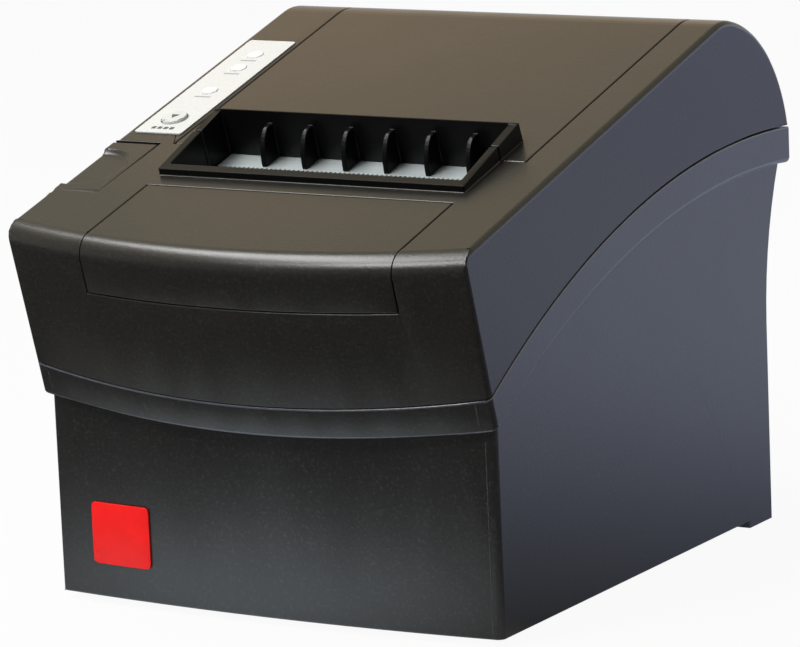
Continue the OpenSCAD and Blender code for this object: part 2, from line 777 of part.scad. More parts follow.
module front_badge() color([0.80, 0.06, 0.08]) intersection() {
    translate([0, base_bow_c, 0]) difference() {
        cylinder(r = base_bow_r + badge_t, h = far, $fn = big_fn);
        translate([0, 0, -1]) cylinder(r = base_bow_r, h = far + 2, $fn = big_fn);
    }
    translate([-badge_x, 0, badge_z]) rotate([90, 0, 0])
        linear_extrude(far) round_rect(badge_w, badge_h, badge_r);
}

module rubber_feet() color(black_colour) each_foot() cylinder(r = foot_r, h = foot_h + foot_seat);

module case_screws() color(steel_colour) for (t = towers) translate([t[0], t[1], foot_h + 0.2]) {
    cylinder(r = screw_head_r, h = screw_head_t - 0.2);
    cylinder(r = screw_r, h = tower_z + 12 - foot_h);
}

tear_back = rim_s1 + 4;
tear_x0 = mouth_x0 + 0.3;
tear_count = floor((mouth_w - 0.6) / tear_pitch);
tear_tooth = 0.8;
module tear_plate() color(steel_colour) on_slope() translate([tear_x0, 0, -tear_deep - tear_t])
    linear_extrude(tear_t) polygon(concat(
        [for (i = [0:2 * tear_count]) [i * tear_pitch / 2, tear_s + (i % 2 == 0 ? tear_tooth : 0)]],
        [[tear_count * tear_pitch, tear_back], [0, tear_back]]));

module platen_roller() color(black_colour) on_slope() difference() {
    rod(print_x - platen_l / 2, print_x + platen_l / 2, platen_r, platen_c);
    rod(-far, far, shaft_r + seat, platen_c);
}

module platen_shaft() color(steel_colour) on_slope() rod(shaft_x0, shaft_x1, shaft_r, platen_c);

module platen_bearings() color(gear_colour) on_slope() difference() {
    for (x = [[rim_x0, chassis_x0 + plate_t], [chassis_x1 - plate_t, rim_x1]])
        rod(x[0], x[1], bush_r, platen_c);
    rod(-far, far, shaft_r + run, platen_c);
}

// Involute gear with a tooth pointing at the given angle
backlash = 0.16;
pressure = 20;
addendum = 0.9;
dedendum = 1.2;
function involute(a) = tan(a) * 180 / PI - a;
function flank_angle(teeth, m, rho) = let (
        r = m * teeth / 2, rb = r * cos(pressure), q = max(rho, rb))
    90 / teeth - backlash / (4 * r) * 180 / PI + involute(pressure) - involute(acos(rb / q));
function gear_points(teeth, m, angle) = let (
        r = m * teeth / 2, root = r - dedendum * m, tip = r + addendum * m,
        low = max(root, r * cos(pressure)),
        radii = concat([root], [for (k = [0:4]) low + (tip - low) * k / 4]))
    [for (i = [0:teeth - 1], side = [-1, 1], k = [0:5]) let (
            rho = radii[side < 0 ? k : 5 - k],
            a = angle + 360 * i / teeth + side * flank_angle(teeth, m, rho))
        rho * [cos(a), sin(a)]];
module gear(x0, x1, c, teeth, m, angle) translate([0, c[0], c[1]])
    bar(x0, x1) polygon(gear_points(teeth, m, angle));

module platen_gear() color(gear_colour) on_slope() difference() {
    gear(gear_x0, gear_x1, platen_c, platen_teeth, gear_m, train_angle);
    rod(-far, far, shaft_r + seat, platen_c);
}

module idler_gear() color(gear_colour) on_slope() difference() {
    gear(gear_x0, gear_x1, idler_c, idler_teeth, gear_m, train_angle + 180 + 180 / idler_teeth);
    rod(-far, far, drive_shaft_r + run, idler_c);
}

module idler_pin() color(steel_colour) on_slope() {
    rod(chassis_x1 - plate_t, gear_x1 + 0.6, drive_shaft_r, idler_c);
    rod(chassis_x1, gear_x0 - 0.3, drive_shaft_r + 2, idler_c);
}

module motor_pinion() color(gear_colour) on_slope() {
    gear(gear_x0, gear_x1, motor_c, motor_teeth, gear_m,
        train_angle + 180 + (idler_teeth % 2 == 0 ? 0 : 180 / motor_teeth));
    rod(chassis_x1 - plate_t - motor_l / 2, gear_x1, drive_shaft_r, motor_c);
}

module drive_motor() color(steel_colour) on_slope() difference() {
    union() {
        rod(chassis_x1 - plate_t - motor_l, chassis_x1 - plate_t, motor_r, motor_c);
        bar(chassis_x1 - plate_t - 1.5, chassis_x1 - plate_t)
            translate(motor_c) round_rect(2.5 * motor_r, 8, 3.5);
    }
    rod(chassis_x1 - plate_t - motor_l / 2 - 1, far, drive_shaft_r + run, motor_c);
}

module in_head_frame() translate([0, platen_c[0], platen_c[1]]) rotate([head_tilt, 0, 0]) children();

leg_y = [-base_f + 8, -28 - end_add];
module mech_chassis() color(steel_colour) {
    for (x = [chassis_x0, chassis_x1 - plate_t]) difference() {
        union() {
            on_slope() bar(x, x + plate_t) polygon([
                [4, cutter_low], [blade_s1 - 6, cutter_low],
                [platen_s - bush_r - slot_play - 2, -platen_deep + bush_r],
                [platen_s + bush_r + 7, -platen_deep + bush_r], [platen_s + bush_r + 7, -56], [10, -60]]);
            block([x, leg_y[0], floor_z], [x + plate_t, leg_y[1], to_z(30, -50)]);
        }
        block([-far, bay_y - trough_r - bay_t - 0.5, 0], [far, far, 2 * far]);
        on_slope() {
            rod(-far, far, bush_r + slot_play, platen_c);
            bar(-far, far) polygon([
                platen_c + [-bush_r - slot_play, 0], platen_c + [bush_r + slot_play, 0],
                platen_c + [bush_r + slot_play + 3, bush_r + 2],
                platen_c + [-bush_r - slot_play, bush_r + 2]]);
            rod(-far, far, drive_shaft_r + seat, idler_c);
            rod(print_x, far, drive_shaft_r + 2, motor_c);
            rod(-far, print_x, shaft_bore, cutter_c);
            in_head_frame() rod(-far, far, head_pin_r + seat, [head_pin_y, head_pin_z]);
        }
    }
    on_slope() in_head_frame()
        block([chassis_x0, stop_y - plate_t, -10], [chassis_x1, stop_y, 4]);
}

module print_head() color([0.62, 0.60, 0.55]) on_slope() in_head_frame()
    block([print_x - head_l / 2, bracket_y, head_low], [print_x + head_l / 2, head_y, head_top]);

module head_bracket() color(steel_colour) on_slope() in_head_frame() difference() {
    union() {
        block([bracket_x0, head_back_y, bracket_low], [bracket_x1, bracket_y, head_top]);
        block([bracket_x0, head_back_y, head_pin_z], [bracket_x1, bracket_y, bracket_low]);
        rod(bracket_x0, bracket_x1, head_boss_r, [head_pin_y, head_pin_z]);
    }
    rod(-far, far, head_pin_r + run, [head_pin_y, head_pin_z]);
}

module head_pin() color(steel_colour) on_slope() in_head_frame()
    rod(chassis_x0, chassis_x1, head_pin_r, [head_pin_y, head_pin_z]);

module head_springs() color(steel_colour) on_slope() in_head_frame()
    for (x = spring_x) translate([x, stop_y, -3]) rotate([-90, 0, 0]) coil(3, 0.5, 4, head_spring_l);

cutter_shaft_r = 2;
shaft_bore = cutter_shaft_r + run;
module cutter_frame() color(steel_colour) on_slope() difference() {
    union() {
        block([chassis_x0, 2, cutter_low], [chassis_x1, blade_s1 - 5, cutter_top]);
        block([cutter_ear_x, cutter_s - 10, cutter_motor_c[1] - cutter_motor_r - 2],
              [cutter_ear_x + plate_t, cutter_s + 10, cutter_low]);
    }
    block([cutter_gear_x0 - 1, cutter_s - (rack_teeth - 1) * rack_gap - 1.5, cutter_low - 1],
          [cutter_gear_x1 + 1, cutter_s + 24, cutter_top + 1]);
    rod(cutter_ear_x - 1, cutter_ear_x + 5, shaft_bore, cutter_c);
    rod(cutter_ear_x - 1, cutter_ear_x + 5, cutter_shaft_r, cutter_motor_c);
}

rack_gap = PI * cutter_m;
rack_teeth = 7;
module rack_tooth() {
    half = PI * cutter_m / 4 - backlash / 4;
    lean = tan(pressure);
    polygon([
        [-half - dedendum * cutter_m * lean, dedendum * cutter_m + 0.2],
        [half + dedendum * cutter_m * lean, dedendum * cutter_m + 0.2],
        [half + dedendum * cutter_m * lean, dedendum * cutter_m],
        [half - addendum * cutter_m * lean, -addendum * cutter_m],
        [-half + addendum * cutter_m * lean, -addendum * cutter_m],
        [-half - dedendum * cutter_m * lean, dedendum * cutter_m]]);
}

blade_margin = 3;
blade_vee = 2;
module cutter_blade() color(steel_colour) on_slope() {
    translate([0, 0, blade_low]) linear_extrude(blade_t) polygon([
        [chassis_x0 + blade_margin, cutter_s - 8], [chassis_x1 - blade_margin, cutter_s - 8],
        [chassis_x1 - blade_margin, blade_s1], [print_x, blade_s1 - blade_vee],
        [chassis_x0 + blade_margin, blade_s1]]);
    bar(cutter_gear_x0 + 0.5, cutter_gear_x1 - 0.5) union() {
        translate([cutter_s - (rack_teeth - 1) * rack_gap, blade_low - rack_body])
            square([(rack_teeth + 1) * rack_gap, rack_body + 0.2]);
        for (i = [2 - rack_teeth:2])
            translate([cutter_s + (i - 0.5) * rack_gap, rack_pitch_n]) rack_tooth();
    }
}

module cutter_shaft() color(steel_colour) on_slope()
    rod(thumb_x0, cutter_ear_x + plate_t, cutter_shaft_r, cutter_c);

module cutter_pinion() color(gear_colour) on_slope() difference() {
    gear(cutter_gear_x0, cutter_gear_x1, cutter_c, cutter_teeth, cutter_m, 90);
    rod(-far, far, cutter_shaft_r + seat, cutter_c);
}

thumb_notches = 20;
module thumbwheel() color([0.12, 0.40, 0.75]) on_slope() difference() {
    rod(thumb_x0, thumb_x1, thumb_r, cutter_c);
    rod(-far, far, cutter_shaft_r + seat, cutter_c);
    for (i = [0:thumb_notches - 1]) let (a = 360 * i / thumb_notches)
        rod(-far, far, 0.7, cutter_c + thumb_r * [cos(a), sin(a)], 16);
}

module cutter_motor_pinion() color(gear_colour) on_slope() {
    gear(cutter_gear_x0, cutter_gear_x1, cutter_motor_c, cutter_teeth, cutter_m,
        90 + 180 / cutter_teeth + (cutter_teeth % 2 == 0 ? 0 : 180 / cutter_teeth));
    rod(cutter_gear_x0, cutter_ear_x + plate_t + 9, cutter_shaft_r - 0.5, cutter_motor_c);
}

module cutter_motor() color(steel_colour) on_slope() difference() {
    rod(cutter_ear_x + plate_t, cutter_ear_x + plate_t + cutter_motor_l, cutter_motor_r, cutter_motor_c);
    rod(cutter_ear_x, cutter_ear_x + plate_t + 10, cutter_shaft_r - 0.5 + run, cutter_motor_c);
}

bay_front_z = bay_z + 5;
bay_rear_z = bay_z + 14;
// Side outline of the trough's hollow or of its outside
module bay_outline(r) translate([bay_y, bay_z]) {
    circle(r);
    translate([-r, 0]) square([2 * r, far]);
}
module bay_plate_outline() difference() {
    translate([bay_y - trough_r - bay_t, floor_z])
        square([2 * trough_r + bay_t, bay_z + far / 2]);
    translate([front_y, front_edge_h]) rotate(top_slope) {
        translate([-far, -bay_clear]) square([4 * far, far]);
        difference() {
            translate([ridge_c[0], -far]) square([far, 2 * far]);
            polygon(rear_outline(bay_clear));
        }
    }
}
bay_clear = wall + 2.5;
module paper_bay() color(black_colour) {
    bar(bay_x0 - bay_t / 2, bay_x1 + bay_t / 2) difference() {
        bay_outline(trough_r + bay_t);
        bay_outline(trough_r);
        translate([-far, bay_front_z]) square([far + bay_y, far]);
        translate([bay_y, bay_rear_z]) square([far, far]);
    }
    for (x = [bay_x0 - bay_t, bay_x1]) bar(x, x + bay_t) bay_plate_outline();
}

guide_t = 1.2;
guide_front = [platen_s + 5, -platen_deep - platen_r - 3];
guide_y = bay_y - trough_r - bay_t - 0.5;
guide_back = [to_s(guide_y, bay_front_z), to_n(guide_y, bay_front_z)];
module paper_guide() color(black_colour) on_slope()
    bar(chassis_x0 + plate_t, chassis_x1 - plate_t) polygon([
        guide_front, guide_back, guide_back - [0, guide_t], guide_front - [0, guide_t]]);

module paper_sensor() color([0.15, 0.15, 0.17]) on_slope() difference() {
    block([print_x - 5, guide_front[0] + 0.4, guide_front[1] - guide_t - 4],
          [print_x + 5, guide_front[0] + 3, far]);
    bar(-far, far) polygon([
        guide_front + [-far / 10, -guide_t - slope_rise * far / 10],
        guide_back + [far / 10, -guide_t + slope_rise * far / 10],
        guide_back + [far / 10, 2 * far], guide_front + [-far / 10, 2 * far]]);
}
slope_rise = (guide_back[1] - guide_front[1]) / (guide_back[0] - guide_front[0]);

module main_board() color(board_colour)
    block([bay_x0 + 1, board_y0, board_z], [bay_x1 - 1, board_y1 - 4, board_top]);

// Outline of a socket's body on the rear wall
module socket_body(x, box) block([x - box[0] / 2, socket_y1 - socket_l, socket_z],
                                 [x + box[0] / 2, socket_y1, socket_z + box[1]]);
module socket(x, box, hole) difference() {
    socket_body(x, box);
    block([x - hole[0] / 2, socket_y1 - socket_deep, socket_z + (box[1] - hole[1]) / 2],
          [x + hole[0] / 2, far, socket_z + (box[1] + hole[1]) / 2]);
}

module interface_plate() color(steel_colour) difference() {
    block([bay_x0 - bay_t, iface_y1 - iface_t, socket_z - 4],
          [base_w / 2 - wall - 0.2, iface_y1, switch_z + rocker_h / 2 + 4]);
    for (s = [[jack_x, jack_box], [usb_x, usb_box], [drawer_x, drawer_box], [network_x, network_box]])
        block([s[0] - s[1][0] / 2 - 0.1, -far, socket_z - 0.1],
              [s[0] + s[1][0] / 2 + 0.1, far, socket_z + s[1][1] + 0.1]);
    block([switch_x - rocker_w / 2 - 0.6, -far, switch_z - rocker_h / 2 - 0.6],
          [switch_x + rocker_w / 2 + 0.6, far, switch_z + rocker_h / 2 + 0.6]);
}

module power_jack() color(black_colour) difference() {
    socket_body(jack_x, jack_box);
    translate([jack_x, socket_y1 - socket_deep, socket_z + jack_box[1] / 2]) rotate([-90, 0, 0])
        cylinder(r = jack_r, h = far);
}
module usb_port() color(steel_colour) socket(usb_x, usb_box, usb_hole);
module drawer_port() color(black_colour) socket(drawer_x, drawer_box, drawer_hole);
module network_port() color(steel_colour) socket(network_x, network_box, network_hole);

rocker_pin_r = 1.2;
rocker_c = [socket_y1 - 3, switch_z];
module switch_housing() color(black_colour) difference() {
    block([switch_x - rocker_w / 2 - 0.5, socket_y1 - switch_l, switch_z - rocker_h / 2 - 0.5],
          [switch_x + rocker_w / 2 + 0.5, socket_y1, switch_z + rocker_h / 2 + 0.5]);
    block([switch_x - rocker_w / 2 + 0.7, socket_y1 - switch_l + 4, switch_z - rocker_h / 2 + 0.7],
          [switch_x + rocker_w / 2 - 0.7, far, switch_z + rocker_h / 2 - 0.7]);
    rod(switch_x - rocker_w / 2 + 0.1, switch_x + rocker_w / 2 - 0.1, rocker_pin_r + run, rocker_c);
}

// Paddle with two flat faces that meet at the pivot, so that one half stands out
module power_rocker() color(black_colour) {
    half = rocker_h / 2 - 2.2;
    bar(switch_x - rocker_w / 2 + 1, switch_x + rocker_w / 2 - 1) translate(rocker_c) polygon([
        [-3, -half * 0.55], [4.2, -half], [4.2 - 1, 0], [4.2 - 2.2, half], [-3, half * 0.55]]);
    rod(switch_x - rocker_w / 2 + 0.3, switch_x + rocker_w / 2 - 0.3, rocker_pin_r, rocker_c);
}

base_housing();
top_case();
lid();
hinge_rod();
cutter_cover();
cover_lever();
lever_pin();
lever_spring();
control_label();
feed_button();
button_spring();
led_lenses();
control_board();
front_badge();
rubber_feet();
case_screws();
tear_plate();
platen_roller();
platen_shaft();
platen_bearings();
platen_gear();
mech_chassis();
print_head();
head_bracket();
head_pin();
head_springs();
drive_motor();
motor_pinion();
idler_gear();
idler_pin();
cutter_frame();
cutter_blade();
cutter_shaft();
cutter_pinion();
thumbwheel();
cutter_motor();
cutter_motor_pinion();
paper_bay();
paper_guide();
paper_sensor();
main_board();
interface_plate();
power_jack();
usb_port();
drawer_port();
network_port();
switch_housing();
power_rocker();
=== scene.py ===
# Thermal receipt printer in dark textured plastic: finishes, small trim, camera, light and floor.
import math

import bmesh
import bpy
from mathutils import Matrix, Vector


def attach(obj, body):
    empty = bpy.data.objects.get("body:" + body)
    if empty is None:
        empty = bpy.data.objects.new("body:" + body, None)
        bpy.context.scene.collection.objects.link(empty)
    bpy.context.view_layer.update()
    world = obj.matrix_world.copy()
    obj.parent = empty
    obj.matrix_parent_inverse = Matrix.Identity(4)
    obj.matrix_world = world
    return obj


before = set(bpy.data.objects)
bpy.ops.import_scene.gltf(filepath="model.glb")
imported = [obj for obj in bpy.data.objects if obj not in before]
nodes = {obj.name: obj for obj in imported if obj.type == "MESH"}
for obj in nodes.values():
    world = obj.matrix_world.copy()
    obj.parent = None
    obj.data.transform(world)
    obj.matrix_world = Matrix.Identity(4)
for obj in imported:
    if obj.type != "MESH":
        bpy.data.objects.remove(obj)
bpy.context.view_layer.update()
MM = 0.001

# Sloping top of the case, in millimetres and radians: its lean, and where it starts at the front
SLOPE = math.radians(15.87)
CASE_FRONT = -96.8
FRONT_REACH = 9.15
FRONT_ROUND = 6
FRONT_Y = (CASE_FRONT + FRONT_REACH * math.cos(SLOPE)
           - FRONT_ROUND * (math.cos(SLOPE) + math.sin(SLOPE) - 1))
FRONT_Z = 107.3

# Curved seam between case and base, the belt below it, and the outer faces that they share
SEAM_R, SEAM_Y, SEAM_Z = 285, 77.5, 113.9
BELT_H = 10.4
SIDE_X = 72.4
REAR_S = 140
BELT_SIDE_X, BELT_SIDE_Y = 72.3, -60
BELT_FRONT_X, BELT_FRONT_Y = 62, -76

# Front cover's sides, hinge ears of the case, and the paper mouth as ranges across and along the slope
COVER_SIDES = (-44.65, 52.35)
EAR_X, EAR_Y, EAR_Z = (52, 67), 90.5, 129.6
EAR_NEAR = 2.5
MOUTH_INSIDE = (-42.7, 50.4), (39.8, 68.3)
MOUTH_RIM = (-45.4, 53.1), (36.6, 69.8)
RIM_FOOT = 0.15

# Control strip: its middle, the key, the lettered place, the lenses and the level of its film
LABEL_X = -61.85
KEY_S = 72.0
LETTERS_S = 65.6
LENS_S = (91.1, 107.2, 116.5)
FILM, FILM_INK = 0.3, 0.38
KEY_TOP, KEY_INK = 1.1, 1.19

# Socket panel, switch and underside
PANEL_Y = 80.1
JACK_X, USB_X, DRAWER_X, NETWORK_X = -27.15, -10.15, 7.85, 27.85
JACK_Z, USB_Z = 22.7, 21.2
CONTACT_PITCH, CONTACT_HALF = 1.02, 0.22
PANEL_SCREWS = ((-18.15, 22.5), (17.35, 22.5), (39.9, 22.5))
SWITCH_X, ROCKER_Y, ROCKER_Z, ROCKER_HALF = 58.175, 79, 26.1, 6.8
UNDER_Z = 2.1
CASE_SCREWS = ((-50.95, -66), (64, -62), (-62, 45), (64, 45))


def on_slope(x, s, n):
    """A point given along and square to the sloping top, in metres."""
    y = FRONT_Y + s * math.cos(SLOPE) - n * math.sin(SLOPE)
    z = FRONT_Z + s * math.sin(SLOPE) + n * math.cos(SLOPE)
    return Vector((x, y, z)) * MM


# Camera
def make_camera():
    """Looks from the front right, a little from above, through a long lens."""
    az, el, roll = (math.radians(a) for a in (31.79, 11.07, -2.42))
    target = Vector((0.2, -4.4, 69.4)) * MM
    distance = 1.295
    back = Vector((math.sin(az) * math.cos(el), -math.cos(az) * math.cos(el), math.sin(el)))
    right = Vector((math.cos(az), math.sin(az), 0))
    up = back.cross(right)
    side = right * math.cos(roll) + up * math.sin(roll)
    top = up * math.cos(roll) - right * math.sin(roll)
    data = bpy.data.cameras.new("camera")
    data.sensor_fit = "HORIZONTAL"
    data.sensor_width = 36
    data.lens = 207.6
    data.clip_start = 0.05
    data.clip_end = 50
    cam = bpy.data.objects.new("camera", data)
    bpy.context.scene.collection.objects.link(cam)
    place = Matrix((side, top, back)).transposed().to_4x4()
    place.translation = target + back * distance
    cam.matrix_world = place
    bpy.context.scene.camera = cam


make_camera()


# Materials
def set_stops(ramp, stops):
    """Fills a colour ramp from a list of places and colours."""
    points = ramp.elements
    while len(points) < len(stops):
        points.new(0.5)
    for point, (at, colour) in zip(points, stops):
        point.position = at
        point.color = (*colour, 1)


class Maker:
    """Builds one node material step by step."""

    def __init__(self, name):
        self.mat = bpy.data.materials.new(name)
        self.mat.use_nodes = True
        self.tree = self.mat.node_tree
        self.shader = self.tree.nodes["Principled BSDF"]
        self.place = self.add("ShaderNodeTexCoord").outputs["Object"]

    def add(self, kind, **settings):
        node = self.tree.nodes.new(kind)
        for key, value in settings.items():
            setattr(node, key, value)
        return node

    def link(self, source, target):
        self.tree.links.new(source, target)

    def noise(self, scale, detail=2.0, rough=0.5):
        node = self.add("ShaderNodeTexNoise")
        node.inputs["Scale"].default_value = scale
        node.inputs["Detail"].default_value = detail
        node.inputs["Roughness"].default_value = rough
        self.link(self.place, node.inputs["Vector"])
        return node.outputs["Fac"]

    def ramp(self, source, stops):
        node = self.add("ShaderNodeValToRGB")
        set_stops(node.color_ramp, stops)
        self.link(source, node.inputs["Fac"])
        return node.outputs["Color"]

    def span(self, source, low, high, out_low, out_high):
        node = self.add("ShaderNodeMapRange")
        keys = ("From Min", "From Max", "To Min", "To Max")
        for key, value in zip(keys, (low, high, out_low, out_high)):
            node.inputs[key].default_value = value
        self.link(source, node.inputs["Value"])
        return node.outputs["Result"]

    def bump(self, source, strength, depth):
        node = self.add("ShaderNodeBump")
        node.inputs["Strength"].default_value = strength
        node.inputs["Distance"].default_value = depth
        self.link(source, node.inputs["Height"])
        return node.outputs["Normal"]

    def put(self, key, value):
        target = self.shader.inputs[key]
        if isinstance(value, bpy.types.NodeSocket):
            self.link(value, target)
        else:
            target.default_value = value


def shade(colour, factor):
    """A lighter or darker tone of a colour."""
    return tuple(min(c * factor, 1.0) for c in colour)


def plastic(name, colour, rough, grain=1700, strength=0.3, specular=0.28, glint_fleck=1.25):
    """Moulded plastic with a spark-eroded texture; the lighter flecks of its grain are painted glints."""
    m = Maker(name)
    fine = m.noise(grain, 2, 0.6)
    broad = m.noise(45, 3, 0.55)
    # Grain tone; its lightest flecks are painted glints of the texture's sparkle
    tone = m.ramp(fine, [(0.32, shade(colour, 0.82)), (0.55, colour), (0.74, shade(colour, glint_fleck))])
    mottle = m.ramp(broad, [(0.3, (0.95, 0.95, 0.95)), (0.7, (1.0, 1.0, 1.0))])
    mix = m.add("ShaderNodeMixRGB", blend_type="MULTIPLY")
    mix.inputs["Fac"].default_value = 1.0
    m.link(tone, mix.inputs["Color1"])
    m.link(mottle, mix.inputs["Color2"])
    m.put("Base Color", mix.outputs["Color"])
    m.put("Roughness", m.span(broad, 0.3, 0.7, rough - 0.015, rough + 0.02))
    m.put("Specular IOR Level", specular)
    m.put("Normal", m.bump(fine, strength, 0.00005))
    return m.mat


def smooth_plastic(name, colour, rough, specular=0.4):
    """Polished plastic with faint handling marks."""
    m = Maker(name)
    broad = m.noise(120, 4, 0.6)
    m.put("Base Color", m.ramp(broad, [(0.3, shade(colour, 0.92)), (0.7, shade(colour, 1.05))]))
    m.put("Roughness", m.span(broad, 0.3, 0.7, rough - 0.04, rough + 0.05))
    m.put("Specular IOR Level", specular)
    m.put("Normal", m.bump(broad, 0.05, 0.00005))
    return m.mat


def metal(name, colour, rough, stretch=(1, 60, 60), metallic=1.0):
    """Rolled sheet or turned metal with fine drawing lines."""
    m = Maker(name)
    scale = m.add("ShaderNodeMapping")
    scale.inputs["Scale"].default_value = stretch
    m.link(m.place, scale.inputs["Vector"])
    lines = m.add("ShaderNodeTexNoise")
    lines.inputs["Scale"].default_value = 60
    lines.inputs["Detail"].default_value = 3
    m.link(scale.outputs["Vector"], lines.inputs["Vector"])
    tone = lines.outputs["Fac"]
    m.put("Base Color", m.ramp(tone, [(0.3, shade(colour, 0.88)), (0.7, shade(colour, 1.06))]))
    m.put("Metallic", metallic)
    m.put("Roughness", m.span(tone, 0.3, 0.7, rough - 0.05, rough + 0.07))
    m.put("Normal", m.bump(tone, 0.08, 0.00003))
    return m.mat


def rubber(name, colour):
    """Dull moulded rubber."""
    m = Maker(name)
    fine = m.noise(900, 3, 0.6)
    m.put("Base Color", m.ramp(fine, [(0.3, shade(colour, 0.8)), (0.7, shade(colour, 1.2))]))
    m.put("Roughness", m.span(fine, 0.3, 0.7, 0.68, 0.82))
    m.put("Specular IOR Level", 0.25)
    m.put("Normal", m.bump(fine, 0.25, 0.00008))
    return m.mat


def board_mat(name):
    """Solder resist over a hatch of tracks."""
    m = Maker(name)
    tracks = m.add("ShaderNodeTexBrick")
    tracks.inputs["Scale"].default_value = 160
    tracks.inputs["Mortar Size"].default_value = 0.06
    tracks.inputs["Color1"].default_value = (0.020, 0.115, 0.050, 1)
    tracks.inputs["Color2"].default_value = (0.024, 0.135, 0.058, 1)
    tracks.inputs["Mortar"].default_value = (0.045, 0.200, 0.095, 1)
    m.link(m.place, tracks.inputs["Vector"])
    m.put("Base Color", tracks.outputs["Color"])
    m.put("Roughness", m.span(m.noise(300), 0.3, 0.7, 0.30, 0.42))
    m.put("Normal", m.bump(tracks.outputs["Fac"], 0.15, 0.00005))
    return m.mat


def label_mat(name):
    """Satin silver film with a faint pearl grain."""
    m = Maker(name)
    fine = m.noise(2600, 2, 0.5)
    m.put("Base Color", m.ramp(fine, [(0.3, (0.62, 0.63, 0.62)), (0.7, (0.72, 0.73, 0.71))]))
    m.put("Roughness", m.span(fine, 0.3, 0.7, 0.36, 0.46))
    m.put("Specular IOR Level", 0.5)
    m.put("Normal", m.bump(fine, 0.06, 0.00003))
    return m.mat


# The case and base grain carries bright flecks, painted glints of the textured plastic
CASE = plastic("case_plastic", (0.0155, 0.0148, 0.0130), 0.29, grain=1200, strength=0.6,
               specular=0.5, glint_fleck=1.8)
BASE = plastic("base_plastic", (0.0096, 0.0094, 0.0092), 0.34, grain=1100, strength=0.6,
               specular=0.95, glint_fleck=3.0)
# Painted highlight: a lighter bluish colour for the rounded edges of the base
EDGE = plastic("base_edge_painted_highlight", (0.058, 0.064, 0.082), 0.30, grain=1100, strength=0.3, specular=1.0)
# Painted shade: a near-black colour for the rim and inside of the paper mouth on the case and lid
MOUTH_SHADE = plastic("mouth_painted_shade", (0.003, 0.003, 0.003), 0.36, grain=1200, strength=0.12, specular=0.2)
# Painted shade: a near-black sheet standing for the shaded slots and recesses of screws
SLOT_SHADE = smooth_plastic("gap_painted_shadow", (0.004, 0.004, 0.004), 0.7, 0.1)
LABEL = label_mat("label_film")
KEY = smooth_plastic("key_plastic", (0.66, 0.67, 0.65), 0.42)
LENS = smooth_plastic("lens_plastic", (0.86, 0.87, 0.85), 0.22, 0.5)
BADGE = smooth_plastic("badge_enamel", (0.90, 0.010, 0.009), 0.30, 0.3)
STEEL = metal("steel_sheet", (0.60, 0.61, 0.62), 0.34)
BRIGHT = metal("bright_steel", (0.70, 0.74, 0.75), 0.30)
BLADE = metal("ground_steel", (0.36, 0.38, 0.39), 0.60)
SATIN = metal("satin_steel", (0.50, 0.55, 0.56), 0.55, metallic=0.45)
RUBBER = rubber("rubber_black", (0.018, 0.018, 0.018))
GEAR = smooth_plastic("acetal_white", (0.72, 0.70, 0.63), 0.38)
BOARD = board_mat("circuit_board")
BLACK = plastic("inner_black", (0.014, 0.014, 0.015), 0.45, grain=1300)
THUMB = smooth_plastic("thumb_blue", (0.04, 0.16, 0.50), 0.4)
CERAMIC = smooth_plastic("head_glaze", (0.40, 0.37, 0.31), 0.18, 0.5)
CONTACT = metal("contact_gold", (0.72, 0.52, 0.22), 0.28)
INK = smooth_plastic("label_ink", (0.09, 0.10, 0.11), 0.5)
PALE_INK = smooth_plastic("pale_ink", (0.36, 0.37, 0.38), 0.5)
# The moulding lines are real; their lighter colour is a painted highlight
LINE_HIGHLIGHT = smooth_plastic("mould_line_highlight", (0.050, 0.054, 0.062), 0.45)
MARK = smooth_plastic("white_ink", (0.75, 0.75, 0.73), 0.5)

FINISH = {
    CASE: "top_case lid cutter_cover cover_lever",
    BASE: "base_housing",
    LABEL: "control_label",
    KEY: "feed_button",
    LENS: "led_lenses",
    BADGE: "front_badge",
    BLADE: "cutter_blade",
    SATIN: "tear_plate",
    STEEL: "hinge_rod lever_pin lever_spring button_spring case_screws platen_shaft mech_chassis "
           "head_bracket head_pin head_springs drive_motor idler_pin cutter_frame cutter_shaft "
           "cutter_motor interface_plate usb_port network_port",
    RUBBER: "rubber_feet platen_roller",
    GEAR: "platen_bearings platen_gear motor_pinion idler_gear cutter_pinion cutter_motor_pinion",
    BOARD: "control_board main_board",
    BLACK: "paper_bay paper_guide paper_sensor power_jack drawer_port switch_housing power_rocker",
    THUMB: "thumbwheel",
    CERAMIC: "print_head",
}
for mat, names in FINISH.items():
    for name in names.split():
        data = nodes[name].data
        data.materials.clear()
        data.materials.append(mat)


# Softened edges of the moulded pieces with a painted highlight on the base's edges, and painted shade in
# the paper mouth
SHARP, FOLDED = math.radians(40), math.radians(125)
WELD = 0.000004
PER_METRE = 200000
SEAM_CLEAR, SEAM_NEAR, TOP_NEAR, BELT_NEAR = 1.5, 0.6, 0.3, 0.2
CORNER_NEAR, CORNER_REACH = 1.2, 6.6


def seam_height(y):
    """Height of the seam between case and base at a depth, in millimetres."""
    return SEAM_Z - SEAM_R + math.sqrt(SEAM_R * SEAM_R - (y - SEAM_Y) ** 2)


def to_slope(point):
    """Sideways, along and square to the sloping top, in millimetres."""
    y, z = point.y / MM - FRONT_Y, point.z / MM - FRONT_Z
    s = y * math.cos(SLOPE) + z * math.sin(SLOPE)
    n = z * math.cos(SLOPE) - y * math.sin(SLOPE)
    return point.x / MM, s, n


